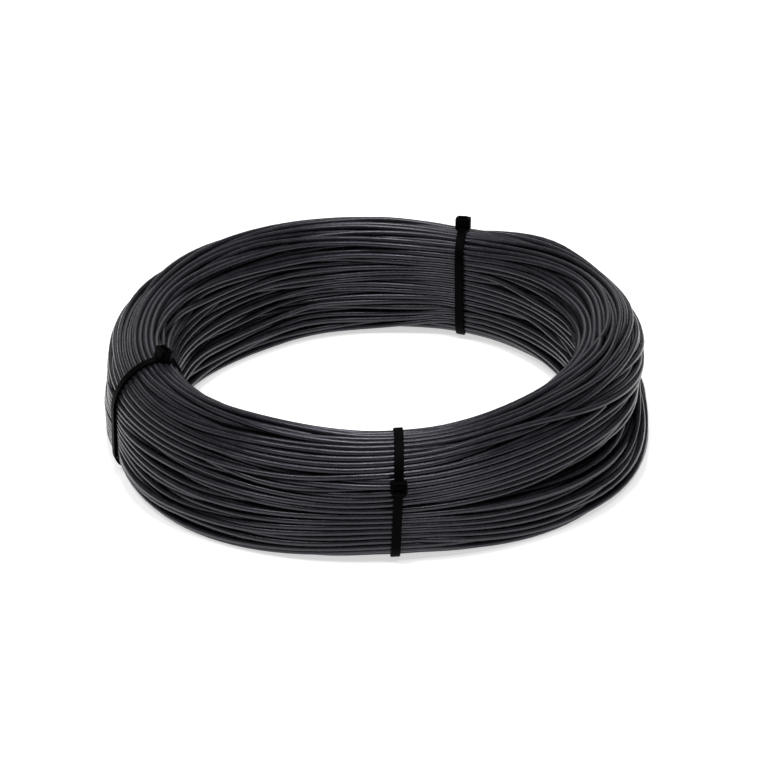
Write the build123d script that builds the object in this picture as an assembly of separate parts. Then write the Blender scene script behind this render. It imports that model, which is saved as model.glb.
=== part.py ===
from build123d import *
from math import floor, pi, tan
import os

# Coil of dark steel wire rod, lying flat and bound by three cable ties.
# Sizes are in millimetres. +Z is up. The origin is on the floor, on the axis of the coil, and -Y is the front.
# The coil is one turned solid, and the backs of its outer turns stand as ridges all round its section.
# Each cable tie is one moulded piece: a strap that follows the coil's section, and a ratchet head.

# Wire
wire_diameter = 3.05

# Coil, measured over the backs of its outer turns
bore_diameter = 217.0
radial_build = 37.5
coil_height = 60.2

# Corner radii of the coil's section, as shares of its radial build
inner_bottom_share = 0.29
outer_bottom_share = 0.28
outer_top_share = 0.62
inner_top_share = 0.35

# Cable tie strap
strap_width = 4.8
strap_thickness = 1.3
strap_edge_bevel = 0.3
strap_clearance = 0.2  # between the strap and the backs of the turns

# Cable tie head, in its own directions: along the strap, across it, and out from the coil
head_cheek = 1.6  # wall beside the strap, on each side
head_front_wall = 1.7
head_rear_wall = 1.9
head_height = 5.4
head_corner_radius = 1.3
head_top_radius = 0.7
head_sink = 0.6  # how far the head reaches down into its strap

# Slot through the head, with the ratchet pawl and the trimmed end of the strap in it
slot_gap = 0.25
slot_floor = 1.0
pawl_length = 1.5
pawl_drop = 0.9  # how far the pawl's tip lies below the top of the head
tail_stub = 1.1  # how far the trimmed end stands out of the head

# Places of the ties: the direction round the coil, the turn of the strap's plane about the upright and its
# lean, all in degrees, and where the head sits, as a share of the way round the section from the top of the
# bore wall, under the coil and up its outside
tie_places = {
    "cable_tie_front": {"azimuth": -86.0, "turn": -3.0, "lean": -3.0, "head_share": 0.688},
    "cable_tie_left": {"azimuth": 197.0, "turn": 14.0, "lean": -6.0, "head_share": 0.891},
    "cable_tie_back": {"azimuth": 66.6, "turn": 14.0, "lean": 0.0, "head_share": 0.844},
}

# Sizes that follow
wire_radius = wire_diameter / 2
crest_half_width = wire_radius * tan(pi / 8)  # half a flat of the octagon round the wire
valley_height = crest_half_width  # of the valley between two touching turns, over the line through their middles
bore_radius = bore_diameter / 2
outer_radius = bore_radius + radial_build
middle_radius = (bore_radius + outer_radius) / 2
coil_base = strap_thickness + strap_clearance  # the coil stands on its ties
coil_top = coil_base + coil_height
middle_height = (coil_base + coil_top) / 2
slot_width = strap_width + 2 * slot_gap
slot_length = slot_gap + strap_thickness + pawl_length
head_width = slot_width + 2 * head_cheek
head_length = head_front_wall + slot_length + head_rear_wall


def section_outline(grow):
    """The coil's section over the backs of its turns, grown outwards, as a closed line of (radius, height).

    It starts at the top of the bore wall and runs down it, under the coil, up its outside and over its top."""
    low, high = coil_base - grow, coil_top + grow
    near, far = bore_radius - grow, outer_radius + grow
    corners = [(near, low), (far, low), (far, high), (near, high)]
    shares = [inner_bottom_share, outer_bottom_share, outer_top_share, inner_top_share]
    radii = [share * radial_build + grow for share in shares]
    return FilletPolyline(*corners, radius=radii, close=True)


def turned(section):
    """The ring that a section in (radius, height) makes about the coil's axis."""
    return revolve(Plane.XZ * section, Axis.Z)


def wire_coil():
    """The whole coil: its core and the outer turns, which lie side by side round the section.

    Each turn's back has three flats of the octagon round the wire, and the octagons meet in the valleys."""
    turn_line = section_outline(-wire_radius)
    turn_count = floor(turn_line.length / wire_diameter)
    points = []
    for turn in range(turn_count):
        for share, side, height in [
            (turn / turn_count, -crest_half_width, wire_radius),
            (turn / turn_count, crest_half_width, wire_radius),
            ((turn + 0.5) / turn_count, 0, valley_height),
        ]:
            along = turn_line % share
            outward = Vector(along.Y, -along.X)
            points.append(turn_line @ share + along * side + outward * height)
    return turned(make_face(Polyline(*points, close=True)))


def ring(grow):
    """All the space within the coil's grown section, as one ring."""
    return turned(make_face(section_outline(grow)))


def strap(frame):
    """A tie's strap: a slice across the coil with bevelled outer edges, less the coil and its clearance."""
    outside = strap_clearance + strap_thickness
    slice_width = strap_width - 2 * strap_edge_bevel
    body = ring(outside) & frame * Box(2 * radial_build, slice_width, 2 * coil_height)
    window = Plane.XZ * Rectangle(2 * radial_build, 2 * coil_height)
    for side in (-1, 1):
        root = frame * (Pos(Y=side * slice_width / 2) * window) & ring(outside)
        rim = frame * (Pos(Y=side * strap_width / 2) * window) & ring(outside - strap_edge_bevel)
        body += loft([root.face(), rim.face()], ruled=True)
    return body - ring(strap_clearance)


def tie_head():
    """The ratchet head, lying along +X on a strap whose outer face is at height zero."""
    block = Pos(Z=-head_sink) * Box(
        head_length, head_width, head_height + head_sink, align=(Align.CENTER, Align.CENTER, Align.MIN)
    )
    block = fillet(block.edges().filter_by(Axis.Z), head_corner_radius)
    block = fillet(block.faces().sort_by(Axis.Z)[-1].edges(), head_top_radius)

    slot_start = head_length / 2 - head_front_wall
    slot_depth = head_height - slot_floor
    slot = Pos(slot_start, 0, slot_floor) * Box(
        slot_length, slot_width, slot_depth, align=(Align.MAX, Align.CENTER, Align.MIN)
    )
    tail = Pos(slot_start - slot_gap, 0, slot_floor) * Box(
        strap_thickness, strap_width, slot_depth + tail_stub, align=(Align.MAX, Align.CENTER, Align.MIN)
    )
    pawl_root = slot_start - slot_length
    pawl_side = Plane.XZ * make_face(
        Polyline(
            (pawl_root, slot_floor),
            (pawl_root + pawl_length, slot_floor),
            (pawl_root + pawl_length, head_height - pawl_drop),
            (pawl_root, head_height - 2 * pawl_drop),
            close=True,
        )
    )
    pawl = extrude(pawl_side, strap_width / 2, both=True)
    return block - slot + tail + pawl


def tie_frame(azimuth, turn, lean):
    """The place of a tie: X out from the coil's axis and Z up, both in the strap's plane."""
    return Rot(Z=azimuth) * Pos(middle_radius, 0, middle_height) * Rot(Z=turn) * Rot(X=lean)


def cable_tie(azimuth, turn, lean, head_share):
    """One cable tie: the strap round the coil, with its head on the outside of it."""
    frame = tie_frame(azimuth, turn, lean)
    strap_line = section_outline(strap_clearance + strap_thickness)
    spot = strap_line @ head_share
    along = strap_line % head_share
    seat = Plane(
        origin=(spot.X - middle_radius, 0, spot.Y - middle_height),
        x_dir=(along.X, 0, along.Y),
        z_dir=(along.Y, 0, -along.X),
    )
    return strap(frame) + frame * (seat * tie_head())


def main():
    os.makedirs("parts", exist_ok=True)
    export_step(wire_coil(), "parts/wire_coil.step")
    for name, place in tie_places.items():
        export_step(cable_tie(**place), f"parts/{name}.step")


main()
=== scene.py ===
from math import cos, pi, radians, sin

import bmesh
import bpy
import numpy as np
from mathutils import Euler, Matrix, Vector


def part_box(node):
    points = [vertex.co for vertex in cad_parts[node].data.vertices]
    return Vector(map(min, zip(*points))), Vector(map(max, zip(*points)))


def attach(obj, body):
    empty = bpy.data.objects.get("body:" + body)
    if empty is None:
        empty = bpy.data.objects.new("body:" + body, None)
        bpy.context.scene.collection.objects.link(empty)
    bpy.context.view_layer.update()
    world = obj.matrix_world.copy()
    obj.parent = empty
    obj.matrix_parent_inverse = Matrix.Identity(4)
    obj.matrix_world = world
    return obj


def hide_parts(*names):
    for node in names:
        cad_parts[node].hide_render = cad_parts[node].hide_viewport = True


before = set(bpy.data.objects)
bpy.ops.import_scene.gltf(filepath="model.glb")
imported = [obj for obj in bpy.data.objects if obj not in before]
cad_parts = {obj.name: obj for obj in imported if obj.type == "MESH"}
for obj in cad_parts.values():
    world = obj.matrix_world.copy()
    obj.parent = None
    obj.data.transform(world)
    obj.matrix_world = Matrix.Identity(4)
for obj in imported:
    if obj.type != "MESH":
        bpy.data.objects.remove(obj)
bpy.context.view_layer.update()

MM_PER_METRE = 1000
MM = 1 / MM_PER_METRE

# The coil is wound here from one wire, in place of the turned solid, and its three cable ties are kept.
# The winding is worked out in millimetres. The middles of the turns are given at stations round the ring,
# as offsets in radius and height from the centre of the bundle's section.
WIRE_DIAMETER = 3.05
WIRE_RADIUS = WIRE_DIAMETER / 2
TURN_COUNT = 212
STATION_COUNT = 120
TIE_AZIMUTHS = np.radians([-86.0, 197.0, 66.6])  # front, left and back tie
WIRE_END_AZIMUTH = radians(197.0)  # both ends of the wire are tucked under the left tie
SECTION_CENTRE = np.array([127.2, 32.5])  # radius and height
DIRECTION_COUNT = 360  # directions round the section in which its reach is worked out
FACINGS = -pi + 2 * pi * (np.arange(DIRECTION_COUNT) + 0.5) / DIRECTION_COUNT

# The hold of a tie, with lengths along the ring in radians
SQUEEZE_REACH = 0.34  # over which the bundle opens out, away from a tie
TIE_REACH = 0.075  # over which a tie's hold fades
TIE_HOLD = 0.05  # to each side of a tie's middle, where its slanted strap holds the turns fast
STRAP_GAP = 0.15  # between the tied section and a strap, taken up by the turns that lie against it
STRAP_DRAW = 0.15  # the share of its room by which an outer turn is drawn out against a strap in a step
OUTER_TURN_ROOM = 0.09  # the most room that an outer turn has, as a share of its distance out

# How the turns settle against one another, step by step
PACKING_STEPS = 900  # inside a tie
WINDING_STEPS = 500  # all round the ring
STEPS_PER_LIST = 10  # between new lists of the turns that lie side by side
SIDE_BY_SIDE = 1.5 * WIRE_DIAMETER  # the distance below which two turns are on that list
PUSH_SHARE = 0.3  # the share of an overlap by which each of the two turns gives way
WIRE_STIFFNESS = 0.5
GOAL_PULL = 0.01  # the share of the way to its planned place by which a turn is pulled there, at first
GOAL_PULL_SPAN = 0.7  # the share of the steps in which that pull fades to nothing
STREWN_HALF = np.array([18.0, 30.0])  # half the breadth and height in which the turns are strewn at first
COLUMN_WIDTH = 0.9 * WIRE_DIAMETER  # of the columns in which the wire is wound

# Sections of the bundle over the backs of its outer turns: inside a tie, and half-way between ties.
# Each corner is an ellipse given by its radial and upright half-axes.
coil_low, coil_high = np.array(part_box("wire_coil")) * MM_PER_METRE
TIED_SECTION = {
    "near": 108.5, "far": coil_high[0], "low": coil_low[2], "high": coil_high[2],
    "inner_bottom": (10.9, 10.9), "outer_bottom": (10.5, 10.5),
    "outer_top": (23.2, 23.2), "inner_top": (13.1, 13.1),
}
OPEN_SECTION = {
    "near": 107.0, "far": 148.0, "low": 0.1, "high": 66.2,
    "inner_bottom": (7.6, 10.0), "outer_bottom": (5.0, 3.5),
    "outer_top": (22.7, 32.0), "inner_top": (19.5, 14.0),
}
CORNER_POINTS = 60
OUTLINE_FINENESS = 40  # finer points for each point of the outline

# How the turns stray: in groups, singly, in depth below the bundle's outline, and in lumps of that outline.
# The strays and depths are drawn at random knots, and run smoothly from knot to knot.
STRAY_KNOTS = 5  # in a turn
SPARE_KNOTS = 4  # rows of knots beyond the last turn
GROUP_TURNS = 6
GROUP_STRAY = 4.0
TURN_STRAY = 2.0
DEPTH_RANGE = 4.6
DEPTH_DRAW = (-1.3, 1.5)  # a turn lies on the outline below zero, and at its full depth above one
DEPTH_ROWS = 1.7  # rows of knots for a turn
TIED_DEPTH_RANGE = 1.8
TIED_DEPTH_DRAW = (-1.2, 1.0)
LUMP_SIZE = 1.6
LUMP_DIRECTIONS = 14
LUMP_AZIMUTHS = 12

# Neighbours change places between one tie and the next
PLACE_CHANGES = 260  # for the front tie, and as many for the back tie
CHANGE_DISTANCE = 1.3 * WIRE_DIAMETER  # the distance below which two turns may change places

# Partings, where turns lie apart and leave a dark gap between them: the direction of the gap in the
# section, its azimuth and its half-length round the ring, all in degrees, and its width
PARTINGS = [
    (128, 85, 22, 5.0),
    (154, 52, 20, 4.0),
    (96, -40, 20, 4.0),
    (69, 12, 25, 5.0),
    (2, -12, 22, 9.0),
    (92, 175, 18, 4.0),
]
LESSER_PARTING_COUNT = 110
LEAST_PARTING = (0, 0, 12, 2.0)
GREATEST_PARTING = (360, 360, 32, 7.0)
PARTING_REACH = 11.0  # how far from the gap the turns make room for it

# Swellings, where the loose turns stand out from the section or lie in from it: the azimuth and half-length
# round the ring, the direction and half-width in the section, all in degrees, and the size
SWELLINGS = [
    (-36, 46, -40, 60, 5.4),
    (-30, 24, -35, 45, 1.5),
    (-4, 17, -30, 38, -7.5),
    (-14, 18, 8, 35, -2.5),
    (214, 46, -37, 60, 7.4),
    (206, 14, -20, 45, 4.0),
    (-110, 26, -50, 50, 2.0),
    (-68, 20, -60, 50, 2.5),
    (245, 30, 110, 45, 1.5),
    (50, 30, 67, 50, 5.4),
    (16, 14, 25, 40, 4.0),
    (-4, 24, 15, 45, -7.0),
    (150, 36, 60, 50, 0.8),
    (176, 22, 15, 40, -3.5),
    (82, 22, 75, 45, 2.5),
    (86, 30, 215, 45, 6.5),
    (125, 30, 215, 45, 3.0),
]

# Drifts, where the outer turns slide round the bundle over the turns below: the azimuth and half-length
# round the ring, the direction and half-width in the section, and the angle of the slide, all in degrees
DRIFTS = [
    (16, 40, 95, 55, -22),
    (-14, 26, 45, 45, -9),
    (76, 60, 125, 60, 11),
    (-45, 36, 60, 45, 10),
    (240, 36, 40, 50, -10),
]
DRIFT_SHARES = (0.7, 0.92)  # of the way out from the centre: where a slide begins, and where it is whole

# Seeds of the random draws
PACKING_SEED = 11
STRAY_SEED = 12
DEPTH_SEED = 13
LUMP_SEED = 14
PARTING_SEED = 15
TONE_SEED = 16
CHANGE_SEED = 17

# The wire's pieces, from the bore outwards
TURN_GROUPS = ["wire_turns_bore", "wire_turns_inner", "wire_turns_outer", "wire_turns_outside"]
TUBE_SIDES = 10

# Colours of the finishes, dark and pale
WIRE_COLOURS = ((0.0075, 0.0073, 0.0098, 1), (0.0235, 0.0227, 0.0290, 1))
NYLON_COLOURS = ((0.0008, 0.0008, 0.0010, 1), (0.0018, 0.0018, 0.0021, 1))
WIRE_SHEEN = (0.88, 0.87, 1.0, 1)
FLOOR_COLOUR = (0.9, 0.9, 0.9, 1)
WHITE = (1, 1, 1, 1)

# The view, with places in the picture in pixels, lengths in metres and angles in radians
IMAGE_SIDE = 762
FOCAL_PIXELS = 3373.0
SENSOR_WIDTH = 36  # in millimetres
VIEW_DISTANCE = 1.816
VIEW_ELEVATION = 0.487
VIEW_ROLL = -0.0196
VIEW_END = 50  # as far as the camera sees
AIM = Vector((0, 0, 0.0331))
AIM_PIXEL = (376.6, 371.4)

# The studio, in metres and watts
FLOOR_SIDE = 12
FLOOR_LIFT = 0.6  # strength of the floor's own light, where it is seen
BACKDROP_STRENGTH = 0.14
SOFTBOXES = [
    {"name": "overhead", "place": (-0.05, 0.0, 1.5), "size": (0.8, 0.3), "power": 11},
    {"name": "key", "place": (-0.6, -0.35, 1.3), "size": (0.4, 0.3), "power": 5},
    {"name": "front", "place": (0.36, -0.6, 1.33), "size": (0.3, 0.15), "power": 4},
    {"name": "back", "place": (0.0, 1.6, 0.9), "size": (1.2, 0.5), "power": 2},
]


# Sections of the bundle
def signed_angle(angle):
    """The same angle, between minus and plus half a turn."""
    return (angle + pi) % (2 * pi) - pi


def hump(offset, half_width):
    """One at no offset, falling smoothly to zero at the half-width."""
    return 0.5 + 0.5 * np.cos(pi * np.clip(offset / half_width, -1, 1))


def section_reach(section):
    """How far a wire's middle may lie from the section's centre, in each direction round it."""
    quarter = np.linspace(0, pi / 2, CORNER_POINTS)
    outline = []
    for name, side, level, first in [
        ("inner_bottom", "near", "low", pi),
        ("outer_bottom", "far", "low", 1.5 * pi),
        ("outer_top", "far", "high", 0.0),
        ("inner_top", "near", "high", 0.5 * pi),
    ]:
        across, upright = np.array(section[name]) - WIRE_RADIUS
        x = section[side] + (across + WIRE_RADIUS) * (1 if side == "near" else -1)
        z = section[level] + (upright + WIRE_RADIUS) * (1 if level == "low" else -1)
        corner_x = x + across * np.cos(first + quarter)
        corner_z = z + upright * np.sin(first + quarter)
        outline.append(np.stack([corner_x, corner_z], 1))
    outline = np.concatenate(outline + [outline[0][:1]]) - SECTION_CENTRE
    place = np.linspace(0, len(outline) - 1, OUTLINE_FINENESS * len(outline))
    x, z = [np.interp(place, np.arange(len(outline)), outline[:, axis]) for axis in (0, 1)]
    angle = np.arctan2(z, x)
    order = np.argsort(angle)
    return np.interp(FACINGS, angle[order], np.hypot(x, z)[order], period=2 * pi)


def reach_towards(bundle, reach):
    """The section's reach in each wire's direction, at each station."""
    turn = (np.arctan2(bundle[..., 1], bundle[..., 0]) + pi) / (2 * pi)
    direction = (turn * DIRECTION_COUNT).astype(int) % DIRECTION_COUNT
    return reach[np.broadcast_to(np.arange(bundle.shape[1]), direction.shape), direction]


def keep_inside(bundle, reach, depth, hold):
    """Pulls back the wires that lie further out than the section's reach, less each wire's own depth.

    Where a tie holds the bundle, the outer wires are drawn out against its strap."""
    distance = np.hypot(bundle[..., 0], bundle[..., 1])
    limit = reach_towards(bundle, reach) - depth
    room = limit / np.maximum(distance, 1e-9) - 1
    drawn = np.where(room < OUTER_TURN_ROOM, STRAP_DRAW * hold * room, 0)
    return bundle * (1 + np.where(room < 0, room, drawn))[..., None]


# Settling
def near_pairs(bundle):
    """The pairs of wires that lie side by side at a station, as indices into the flat list of middles."""
    upper = np.triu(np.ones((TURN_COUNT, TURN_COUNT), bool), 1)
    firsts, seconds = [], []
    for station in range(bundle.shape[1]):
        middles = bundle[:, station].astype(np.float32)
        gap = middles[:, None] - middles[None]
        a, b = np.nonzero(((gap ** 2).sum(-1) < SIDE_BY_SIDE ** 2) & upper)
        firsts.append(a * bundle.shape[1] + station)
        seconds.append(b * bundle.shape[1] + station)
    return np.concatenate(firsts), np.concatenate(seconds)


def push_apart(middles, pairs):
    """Moves each pair of wires that overlap away from one another."""
    a, b = pairs
    gap = middles[a] - middles[b]
    distance = np.hypot(gap[:, 0], gap[:, 1]) + 1e-9
    push = gap * (np.maximum(WIRE_DIAMETER - distance, 0) / distance * PUSH_SHARE)[:, None]
    count = len(middles)
    moved = [np.bincount(a, push[:, axis], count) - np.bincount(b, push[:, axis], count) for axis in (0, 1)]
    return middles + np.stack(moved, 1)


def stiffened(wire):
    """The wire with its sharp bends evened out, more so the shorter they are."""
    line = np.linspace(wire[0], wire[-1], len(wire))
    waves = np.fft.rfft(wire - line, axis=0)
    sharpness = (2 * np.sin(pi * np.arange(len(waves)) / len(wire))) ** 4
    return line + np.fft.irfft(waves / (1 + WIRE_STIFFNESS * sharpness)[:, None], len(wire), axis=0)


# Straying
def spline_weights(place):
    """The shares of four knots in a row at a place between them, as in a cubic spline."""
    t = place - np.floor(place)
    return [
        (1 - t) ** 3 / 6,
        (3 * t ** 3 - 6 * t * t + 4) / 6,
        (-3 * t ** 3 + 3 * t * t + 3 * t + 1) / 6,
        t ** 3 / 6,
    ]


def smooth_noise(rows, columns, knots):
    """Random knots spread smoothly over rows and columns, which both close on themselves."""
    total = 0
    for i, row_share in enumerate(spline_weights(rows)):
        for j, column_share in enumerate(spline_weights(columns)):
            row = (np.floor(rows).astype(int) + i) % knots.shape[0]
            column = (np.floor(columns).astype(int) + j) % knots.shape[1]
            total = total + (row_share * column_share)[..., None] * knots[row, column]
    return total


def wire_places():
    """Each station's place along the wire, in turns, and round the ring, in knots of straying."""
    station = np.arange(STATION_COUNT) / STATION_COUNT
    turn = np.arange(TURN_COUNT)[:, None] + station[None]
    return turn, np.broadcast_to(station * STRAY_KNOTS, turn.shape)


def straying():
    """How far the turns stray from their places, in groups of neighbours and singly."""
    turn, knot = wire_places()
    rng = np.random.default_rng(STRAY_SEED)
    group_knots = rng.normal(0, GROUP_STRAY, (TURN_COUNT // GROUP_TURNS + SPARE_KNOTS, STRAY_KNOTS, 2))
    turn_knots = rng.normal(0, TURN_STRAY, (TURN_COUNT + SPARE_KNOTS, STRAY_KNOTS, 2))
    return smooth_noise(turn / GROUP_TURNS, knot, group_knots) + smooth_noise(turn, knot, turn_knots)


def depths():
    """How far each wire stays below the outline of the bundle: some lie on it, some deeper."""
    turn, knot = wire_places()
    rng = np.random.default_rng(DEPTH_SEED)
    knots = rng.uniform(*DEPTH_DRAW, (TURN_COUNT + SPARE_KNOTS, STRAY_KNOTS, 1))
    return DEPTH_RANGE * np.clip(smooth_noise(turn * DEPTH_ROWS, knot, knots)[..., 0], 0, 1)


def tones():
    """How pale the wire is at each station."""
    turn, knot = wire_places()
    rng = np.random.default_rng(TONE_SEED)
    knots = rng.uniform(0, 1, (TURN_COUNT + SPARE_KNOTS, STRAY_KNOTS, 1))
    return smooth_noise(turn, knot, knots).ravel()


def lumps():
    """How far lumps of the bundle's outline stand out or lie in, for each station and direction."""
    direction = np.arange(DIRECTION_COUNT)[None] / DIRECTION_COUNT * LUMP_DIRECTIONS
    station = np.arange(STATION_COUNT)[:, None] / STATION_COUNT * LUMP_AZIMUTHS
    direction, station = np.broadcast_arrays(direction, station)
    rng = np.random.default_rng(LUMP_SEED)
    knots = rng.normal(0, LUMP_SIZE, (LUMP_DIRECTIONS, LUMP_AZIMUTHS, 1))
    return np.clip(smooth_noise(direction, station, knots)[..., 0], -LUMP_SIZE, LUMP_SIZE / 2)


def swellings(azimuth):
    """How far the loose turns stand out from the section, for each station and direction."""
    total = 0
    for middle, half_length, direction, half_width, size in SWELLINGS:
        along = hump(signed_angle(azimuth - radians(middle)), radians(half_length))
        across = hump(signed_angle(FACINGS - radians(direction)), radians(half_width))
        total = total + size * along[:, None] * across[None]
    return total


def drift(facing, share, azimuth):
    """The angle by which each turn slides round the bundle at each station."""
    start, whole = DRIFT_SHARES
    loose = np.clip((share - start) / (whole - start), 0, 1)
    total = 0
    for middle, half_length, direction, half_width, angle in DRIFTS:
        along = hump(signed_angle(azimuth - radians(middle)), radians(half_length))
        across = hump(signed_angle(facing - radians(direction)), radians(half_width))
        total = total + radians(angle) * along * across * loose
    return total


def opened_out(bundle, tied, reach, azimuth):
    """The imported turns, spread from the tied section over each station's own, the outer ones drifted."""
    facing = np.arctan2(bundle[..., 1], bundle[..., 0])
    tied_reach = reach_towards(bundle, np.broadcast_to(tied, reach.shape))
    share = np.hypot(bundle[..., 0], bundle[..., 1]) / tied_reach
    facing = facing + drift(facing, share, azimuth)
    outward = np.stack([np.cos(facing), np.sin(facing)], -1)
    return outward * (share * reach_towards(outward, reach))[..., None]


def parted(bundle, opened, azimuth):
    """The bundle with gaps between some of its outer turns."""
    rng = np.random.default_rng(PARTING_SEED)
    lesser = rng.uniform(LEAST_PARTING, GREATEST_PARTING, (LESSER_PARTING_COUNT, 4))
    for direction, middle, half_length, gap in [*PARTINGS, *lesser]:
        opening = gap / 2 * hump(signed_angle(azimuth - radians(middle)), radians(half_length))
        outward = np.array([cos(radians(direction)), sin(radians(direction))])
        along = np.array([-outward[1], outward[0]])
        distance = np.interp(signed_angle(radians(direction)), FACINGS, opened)
        offset = bundle - outward * distance
        nearness = np.exp(-(offset ** 2).sum(-1) / PARTING_REACH ** 2)
        bundle = bundle + (np.tanh(offset @ along) * opening * nearness)[..., None] * along
    return bundle


# Winding
def tied_packing():
    """Where the turns lie inside a tie, in the order that the wire was wound: in columns, up and down."""
    rng = np.random.default_rng(PACKING_SEED)
    reach = section_reach(TIED_SECTION)[None]
    bundle = rng.uniform(-STREWN_HALF, STREWN_HALF, (TURN_COUNT, 1, 2))
    depth = TIED_DEPTH_RANGE * np.clip(rng.uniform(*TIED_DEPTH_DRAW, (TURN_COUNT, 1)), 0, 1)
    for step in range(PACKING_STEPS):
        if step % STEPS_PER_LIST == 0:
            pairs = near_pairs(bundle)
        bundle = push_apart(bundle[:, 0], pairs)[:, None]
        bundle = keep_inside(bundle, reach, depth, 0)
    middles = bundle[:, 0]
    column = np.floor((middles[:, 0] - middles[:, 0].min()) / COLUMN_WIDTH).astype(int)
    upwards = np.where(column % 2 == 0, 1, -1)
    return middles[np.lexsort((upwards * middles[:, 1], column))]


def changed_places(slots):
    """The slot of each turn at the front tie and at the back tie, where neighbours have changed places."""
    rng = np.random.default_rng(CHANGE_SEED)
    gap = np.linalg.norm(slots[:, None] - slots[None], axis=-1)
    a, b = np.nonzero(np.triu(gap < CHANGE_DISTANCE, 1))
    turns_in_slots = np.tile(np.arange(TURN_COUNT), (2, 1))
    for turn_in in turns_in_slots:
        for pair in rng.integers(0, len(a), PLACE_CHANGES):
            turn_in[[a[pair], b[pair]]] = turn_in[[b[pair], a[pair]]]
    return np.argsort(turns_in_slots, axis=1)


def from_tie_to_tie():
    """The middles of all turns, led smoothly from their slots at each tie to those at the next."""
    slots = tied_packing()
    following = np.concatenate([slots[1:], 2 * slots[-1:] - slots[-2:-1]])
    stops = [slots, *[slots[order] for order in changed_places(slots)], following]
    front, _, back = np.degrees(signed_angle(TIE_AZIMUTHS - WIRE_END_AZIMUTH) % (2 * pi)) / 360
    stop_share = [0.0, front, back, 1.0]
    share = np.arange(STATION_COUNT) / STATION_COUNT
    bundle = np.empty((TURN_COUNT, STATION_COUNT, 2))
    for here, there, start, end in zip(stops, stops[1:], stop_share, stop_share[1:]):
        run = (share >= start) & (share < end)
        way = (share[run] - start) / (end - start)
        way = (way * way * (3 - 2 * way))[None, :, None]
        bundle[:, run] = here[:, None] * (1 - way) + there[:, None] * way
    return bundle


def wind_bundle():
    """The middles of all turns at all stations, as offsets from the section's centre."""
    bundle = from_tie_to_tie()
    azimuth = WIRE_END_AZIMUTH + 2 * pi * np.arange(STATION_COUNT) / STATION_COUNT
    from_tie = np.min([np.abs(signed_angle(azimuth - tie)) for tie in TIE_AZIMUTHS], axis=0)
    from_tie = np.maximum(from_tie - TIE_HOLD, 0)
    openness = 1 - np.exp(-0.5 * (from_tie / SQUEEZE_REACH) ** 2)
    looseness = 1 - np.exp(-0.5 * (from_tie / TIE_REACH) ** 2)

    tied, opened = section_reach(TIED_SECTION), section_reach(OPEN_SECTION)
    reach = tied + (opened - tied + lumps()) * openness[:, None] + swellings(azimuth) * looseness[:, None]
    reach = reach + STRAP_GAP * (1 - looseness)[:, None]
    bundle = opened_out(bundle, tied, reach, azimuth)
    bundle = bundle + straying() * openness[None, :, None]
    bundle = bundle + (parted(bundle, opened, azimuth) - bundle) * looseness[None, :, None]
    depth = depths() * openness

    goal = bundle.copy()
    floor = WIRE_RADIUS - SECTION_CENTRE[1]
    for step in range(WINDING_STEPS):
        if step % STEPS_PER_LIST == 0:
            pairs = near_pairs(bundle)
        wire = push_apart(bundle.reshape(-1, 2), pairs)
        bundle = stiffened(wire).reshape(TURN_COUNT, STATION_COUNT, 2)
        fading = max(0.0, 1 - step / (GOAL_PULL_SPAN * WINDING_STEPS))
        bundle = bundle + (goal - bundle) * GOAL_PULL * fading
        bundle = keep_inside(bundle, reach, depth, 1 - looseness)
        bundle[..., 1] = np.maximum(bundle[..., 1], floor)
    return bundle


# Pieces
def tube_along(name, points):
    """A mesh of the wire along a line of points, a ring of vertices for each, with its ends closed."""
    curve = bpy.data.curves.new(name, "CURVE")
    curve.dimensions = "3D"
    curve.bevel_depth = WIRE_RADIUS * MM
    curve.bevel_resolution = (TUBE_SIDES - 4) // 2
    spline = curve.splines.new("POLY")
    spline.points.add(len(points) - 1)
    spline.points.foreach_set("co", np.column_stack([points * MM, np.ones(len(points))]).ravel())
    line = bpy.data.objects.new(name + "_line", curve)
    mesh = bpy.data.meshes.new_from_object(line)
    bpy.data.objects.remove(line)
    bpy.data.curves.remove(curve)
    mesh.name = name

    tube = bmesh.new()
    tube.from_mesh(mesh)
    bmesh.ops.holes_fill(tube, edges=[edge for edge in tube.edges if edge.is_boundary], sides=TUBE_SIDES)
    bmesh.ops.recalc_face_normals(tube, faces=tube.faces)
    tube.to_mesh(mesh)
    tube.free()
    return mesh


def wire_turns(name, points, tone, first_length):
    """A run of turns as one tube, with each point's tone and its place on the wire kept for its finish."""
    mesh = tube_along(name, points)
    steps = np.linalg.norm(np.diff(points, axis=0), axis=1)
    length = first_length + np.concatenate([[0], np.cumsum(steps)])
    angle = 2 * pi * np.arange(TUBE_SIDES) / TUBE_SIDES
    place = np.empty((len(points), TUBE_SIDES, 3))
    place[..., 0] = length[:, None]
    place[..., 1] = WIRE_RADIUS * np.cos(angle)
    place[..., 2] = WIRE_RADIUS * np.sin(angle)
    wire_place = mesh.attributes.new("wire_place", "FLOAT_VECTOR", "POINT")
    wire_place.data.foreach_set("vector", place.ravel())
    wire_tone = mesh.attributes.new("wire_tone", "FLOAT", "POINT")
    wire_tone.data.foreach_set("value", np.repeat(tone, TUBE_SIDES))

    piece = bpy.data.objects.new(name, mesh)
    bpy.context.scene.collection.objects.link(piece)
    mesh.shade_smooth()
    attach(piece, "root")
    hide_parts("wire_coil")
    return piece, length[-1]


def wound_wire(finish):
    """The whole wire, as runs of turns that follow one another."""
    radius, height = (wind_bundle() + SECTION_CENTRE).reshape(-1, 2).T
    azimuth = WIRE_END_AZIMUTH + 2 * pi * np.arange(len(radius)) / STATION_COUNT
    points = np.stack([radius * np.cos(azimuth), radius * np.sin(azimuth), height], 1)
    tone = tones()
    edges = np.linspace(0, TURN_COUNT, len(TURN_GROUPS) + 1).astype(int) * STATION_COUNT
    length = 0.0
    for name, first, last in zip(TURN_GROUPS, edges, edges[1:]):
        run = slice(first, last + 1)
        piece, length = wire_turns(name, points[run], tone[run], length)
        piece.data.materials.append(finish)


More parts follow.
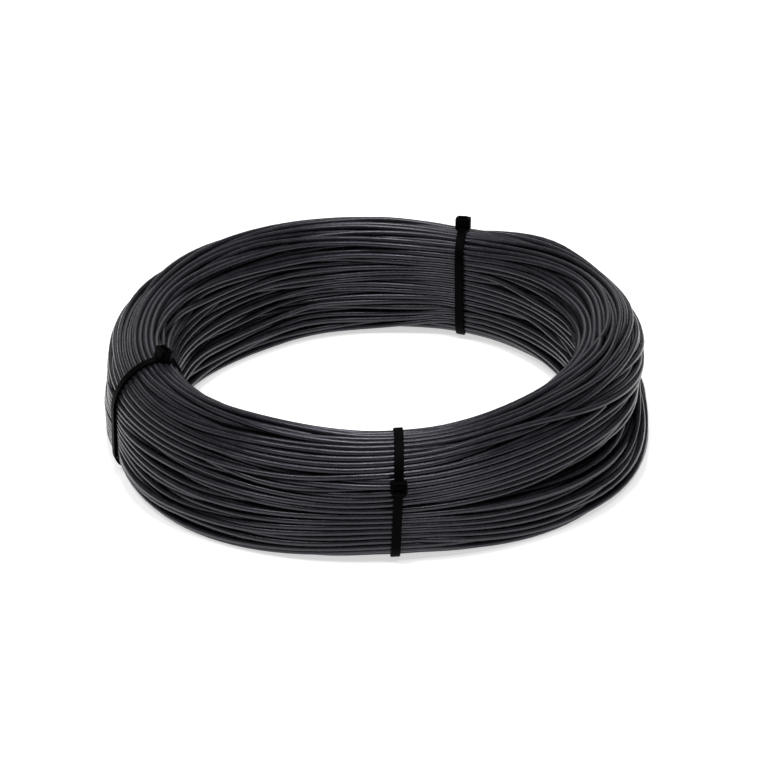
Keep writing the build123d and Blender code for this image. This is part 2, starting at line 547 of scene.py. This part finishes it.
# Finishes
def node(tree, kind, inputs, **settings):
    """A new node with its inputs set or linked, by name or by number."""
    made = tree.nodes.new(kind)
    for name, value in settings.items():
        setattr(made, name, value)
    for name, value in inputs.items():
        if isinstance(value, bpy.types.NodeSocket):
            tree.links.new(value, made.inputs[name])
        else:
            made.inputs[name].default_value = value
    return made


def calculated(tree, operation, *values):
    """The result of a sum on numbers or sockets."""
    return node(tree, "ShaderNodeMath", dict(enumerate(values)), operation=operation).outputs[0]


def ranged(tree, value, given, wanted):
    """A value taken from the range that it is given in to the one that is wanted."""
    ends = {"From Min": given[0], "From Max": given[1], "To Min": wanted[0], "To Max": wanted[1]}
    return node(tree, "ShaderNodeMapRange", {"Value": value, **ends}).outputs["Result"]


def noise(tree, place, scale, detail):
    """Even noise over places."""
    inputs = {"Vector": place, "Scale": scale, "Detail": detail}
    return node(tree, "ShaderNodeTexNoise", inputs).outputs["Fac"]


def blended(tree, share, colours):
    """A colour between two, by a share. A Mix node's colours are its inputs 6 and 7, and its output 2."""
    inputs = {"Factor": share, 6: colours[0], 7: colours[1]}
    return node(tree, "ShaderNodeMix", inputs, data_type="RGBA").outputs[2]


def bumped(tree, height, strength, distance):
    """The surface's direction with a fine relief."""
    inputs = {"Height": height, "Strength": strength, "Distance": distance}
    return node(tree, "ShaderNodeBump", inputs).outputs["Normal"]


def new_material(name):
    """A material, its nodes and its shader."""
    material = bpy.data.materials.new(name)
    material.use_nodes = True
    return material, material.node_tree, material.node_tree.nodes["Principled BSDF"]


def surface_grain():
    """The effect that both finishes share: fine grain and broad patches."""
    group = bpy.data.node_groups.new("surface_grain", "ShaderNodeTree")
    group.interface.new_socket("Place", in_out="INPUT", socket_type="NodeSocketVector")
    for name in ("Grain Scale", "Patch Scale"):
        group.interface.new_socket(name, in_out="INPUT", socket_type="NodeSocketFloat")
    for name in ("Grain", "Patches"):
        group.interface.new_socket(name, in_out="OUTPUT", socket_type="NodeSocketFloat")
    given = group.nodes.new("NodeGroupInput").outputs
    grain = noise(group, given["Place"], given["Grain Scale"], detail=3.0)
    patches = noise(group, given["Place"], given["Patch Scale"], detail=2.0)
    node(group, "NodeGroupOutput", {"Grain": grain, "Patches": patches})
    return group


def dark_wire_finish(grain_group):
    """Dark drawn steel: oxide in long streaks and patches, drawn lines, and a fine grain that glints.

    Places on the wire are in millimetres."""
    material, tree, shader = new_material("dark_steel_wire")
    place = node(tree, "ShaderNodeAttribute", {}, attribute_name="wire_place").outputs["Vector"]
    tone = node(tree, "ShaderNodeAttribute", {}, attribute_name="wire_tone").outputs["Fac"]
    scales = {"Place": place, "Grain Scale": 2.0, "Patch Scale": 0.12}
    surface = node(tree, "ShaderNodeGroup", scales, node_tree=grain_group).outputs
    drawn = node(tree, "ShaderNodeMapping", {"Vector": place, "Scale": (0.03, 1.0, 1.0)})
    streaks = noise(tree, drawn.outputs["Vector"], scale=1.4, detail=3.0)

    oxide = calculated(tree, "ADD", calculated(tree, "ADD", tone, streaks), surface["Patches"])
    paleness = ranged(tree, oxide, given=(1.0, 2.0), wanted=(0.0, 1.0))
    colour = blended(tree, paleness, WIRE_COLOURS)
    worn = calculated(tree, "ADD", surface["Grain"], surface["Patches"])
    roughness = ranged(tree, worn, given=(0.7, 1.3), wanted=(0.17, 0.35))
    relief = calculated(tree, "MULTIPLY_ADD", streaks, 0.5, surface["Grain"])
    tree.links.new(colour, shader.inputs["Base Color"])
    tree.links.new(roughness, shader.inputs["Roughness"])
    normal = bumped(tree, relief, strength=0.18, distance=0.00012)
    tree.links.new(normal, shader.inputs["Normal"])
    shader.inputs["Specular IOR Level"].default_value = 0.46
    shader.inputs["Specular Tint"].default_value = WIRE_SHEEN
    return material


def nylon_finish(grain_group):
    """Black moulded nylon with a soft mould grain. Places on it are in metres."""
    material, tree, shader = new_material("black_nylon")
    place = node(tree, "ShaderNodeTexCoord", {}).outputs["Object"]
    scales = {"Place": place, "Grain Scale": 2600.0, "Patch Scale": 240.0}
    surface = node(tree, "ShaderNodeGroup", scales, node_tree=grain_group).outputs
    colour = blended(tree, surface["Patches"], NYLON_COLOURS)
    roughness = ranged(tree, surface["Grain"], given=(0.0, 1.0), wanted=(0.42, 0.62))
    tree.links.new(colour, shader.inputs["Base Color"])
    tree.links.new(roughness, shader.inputs["Roughness"])
    normal = bumped(tree, surface["Grain"], strength=0.2, distance=0.0001)
    tree.links.new(normal, shader.inputs["Normal"])
    shader.inputs["Specular IOR Level"].default_value = 0.02
    return material


# Studio
def camera():
    """The photo's view."""
    data = bpy.data.cameras.new("camera")
    data.sensor_width = SENSOR_WIDTH
    data.lens = FOCAL_PIXELS / IMAGE_SIDE * data.sensor_width
    data.shift_x = (IMAGE_SIDE / 2 - AIM_PIXEL[0]) / IMAGE_SIDE
    data.shift_y = (AIM_PIXEL[1] - IMAGE_SIDE / 2) / IMAGE_SIDE
    data.clip_end = VIEW_END
    eye = bpy.data.objects.new("camera", data)
    forward = Vector((0, cos(VIEW_ELEVATION), -sin(VIEW_ELEVATION)))
    eye.location = AIM - forward * VIEW_DISTANCE
    turn = forward.to_track_quat("-Z", "Y") @ Euler((0, 0, VIEW_ROLL)).to_quaternion()
    eye.rotation_euler = turn.to_euler()
    bpy.context.scene.collection.objects.link(eye)
    bpy.context.scene.camera = eye


def softbox(name, place, size, power):
    """A soft light that faces the coil."""
    data = bpy.data.lights.new(name, "AREA")
    data.shape = "RECTANGLE"
    data.size, data.size_y = size
    data.energy = power
    lamp = bpy.data.objects.new(name, data)
    lamp.location = place
    lamp.rotation_euler = (AIM - Vector(place)).to_track_quat("-Z", "Y").to_euler()
    bpy.context.scene.collection.objects.link(lamp)


def seen_share(tree):
    """One where the floor is seen, straight, in a reflection or through a piece, and zero elsewhere."""
    path = tree.nodes.new("ShaderNodeLightPath").outputs
    seen = calculated(tree, "MAXIMUM", path["Is Camera Ray"], path["Is Glossy Ray"])
    return calculated(tree, "MAXIMUM", seen, path["Is Transmission Ray"])


def studio():
    """A pale floor, an even backdrop and the lights."""
    material, tree, shader = new_material("pale_floor")
    shader.inputs["Base Color"].default_value = FLOOR_COLOUR
    shader.inputs["Roughness"].default_value = 0.9
    shader.inputs["Emission Color"].default_value = WHITE
    lift = calculated(tree, "MULTIPLY", seen_share(tree), FLOOR_LIFT)
    tree.links.new(lift, shader.inputs["Emission Strength"])
    bpy.ops.mesh.primitive_plane_add(size=FLOOR_SIDE)
    floor = bpy.context.object
    floor.name = "floor"
    floor.data.materials.append(material)

    world = bpy.data.worlds.new("studio")
    bpy.context.scene.world = world
    world.use_nodes = True
    backdrop = world.node_tree.nodes["Background"]
    backdrop.inputs["Color"].default_value = WHITE
    backdrop.inputs["Strength"].default_value = BACKDROP_STRENGTH

    for lamp in SOFTBOXES:
        softbox(**lamp)
    bpy.context.scene.view_settings.view_transform = "Standard"


grain_group = surface_grain()
wound_wire(dark_wire_finish(grain_group))
nylon = nylon_finish(grain_group)
for name in ("cable_tie_front", "cable_tie_left", "cable_tie_back"):
    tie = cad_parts[name]
    tie.data.materials.clear()
    tie.data.materials.append(nylon)
camera()
studio()
